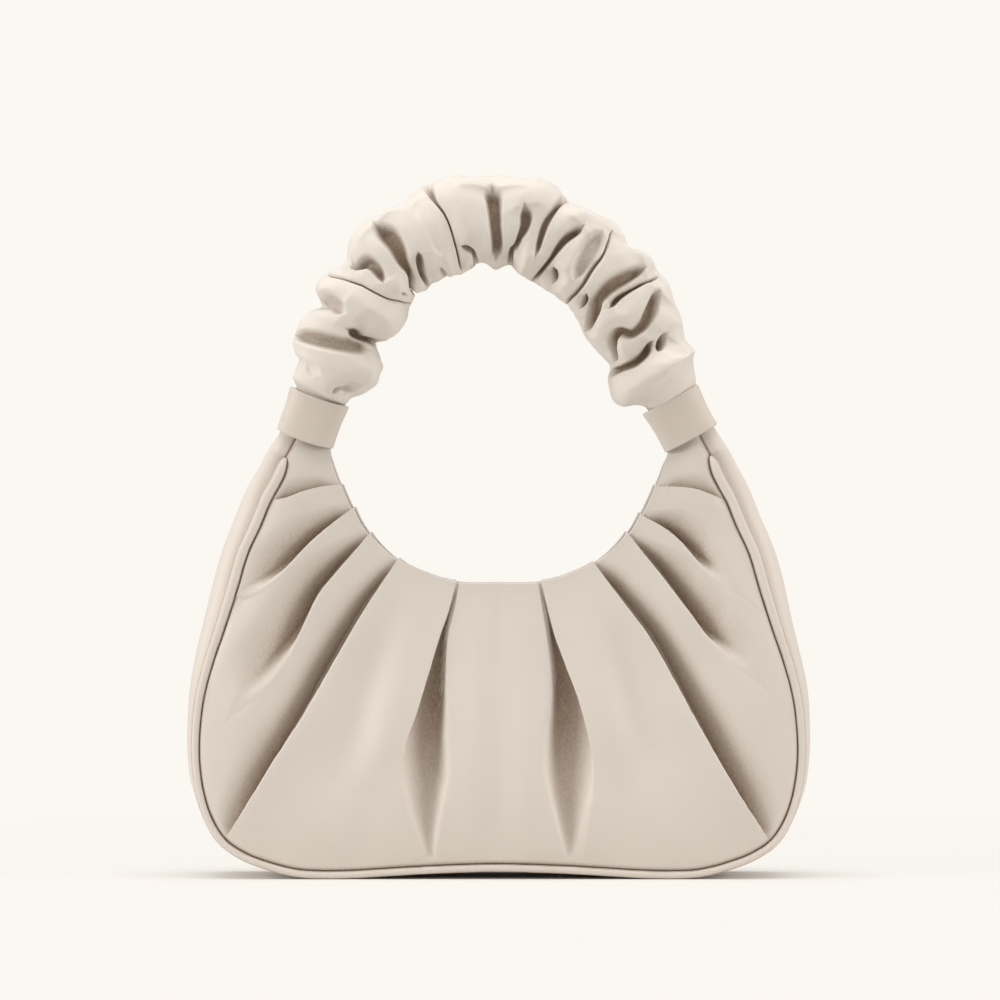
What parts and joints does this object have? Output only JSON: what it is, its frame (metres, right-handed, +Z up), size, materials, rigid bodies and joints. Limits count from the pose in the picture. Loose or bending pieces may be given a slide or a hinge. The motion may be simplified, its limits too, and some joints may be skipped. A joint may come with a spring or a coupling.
{
  "type": "ruched hobo bag",
  "caption": "Small crescent hobo bag with radiating pleats, a side-and-base gusset with piped seams, and a gathered handle joined by leather keepers.",
  "frame": {"origin": "on the floor, under the middle of the bag", "axes": "+Z up, the front of the bag faces -Y, +X runs along the bag to the right as seen from the front"},
  "size_m": [0.26, 0.0652, 0.2918],
  "materials": {
    "oat_leather": "smooth, semi-matt",
    "piping_leather": "smooth, semi-matt",
    "keeper_leather": "smooth, semi-matt",
    "sleeve_leather": "smooth, semi-matt, gathered",
    "strap_leather": "smooth, semi-matt"
  },
  "bodies": {
    "root": {"front_panel": "oat_leather", "back_panel": "oat_leather", "gusset": "oat_leather", "piping_front": "piping_leather", "piping_back": "piping_leather", "keeper_left": "keeper_leather", "keeper_right": "keeper_leather", "handle_sleeve": "sleeve_leather", "handle_core": "strap_leather"}
  },
  "joints": []
}
